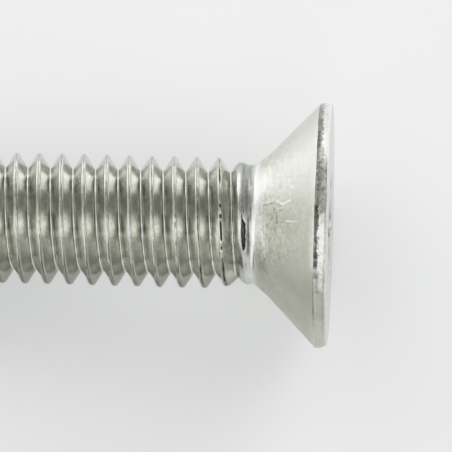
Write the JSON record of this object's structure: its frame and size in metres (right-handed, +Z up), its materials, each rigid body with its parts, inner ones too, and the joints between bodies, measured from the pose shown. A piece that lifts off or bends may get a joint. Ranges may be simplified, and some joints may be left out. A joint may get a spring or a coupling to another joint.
{
  "type": "countersunk machine screw",
  "caption": "Stainless countersunk machine screw with a six-lobe socket in its flat head and a metric thread up to the head, lying on its side.",
  "frame": {"origin": "on the surface the screw lies on, under the middle of its bounding box", "axes": "+Z up, +X towards the head along the screw, whose axis rises towards the head because the rim is wider than the thread"},
  "size_m": [0.0208, 0.0108, 0.0108],
  "materials": {
    "steel": "satin cold-formed stainless steel with rolled thread"
  },
  "bodies": {
    "root": {"screw": "steel"}
  },
  "joints": []
}
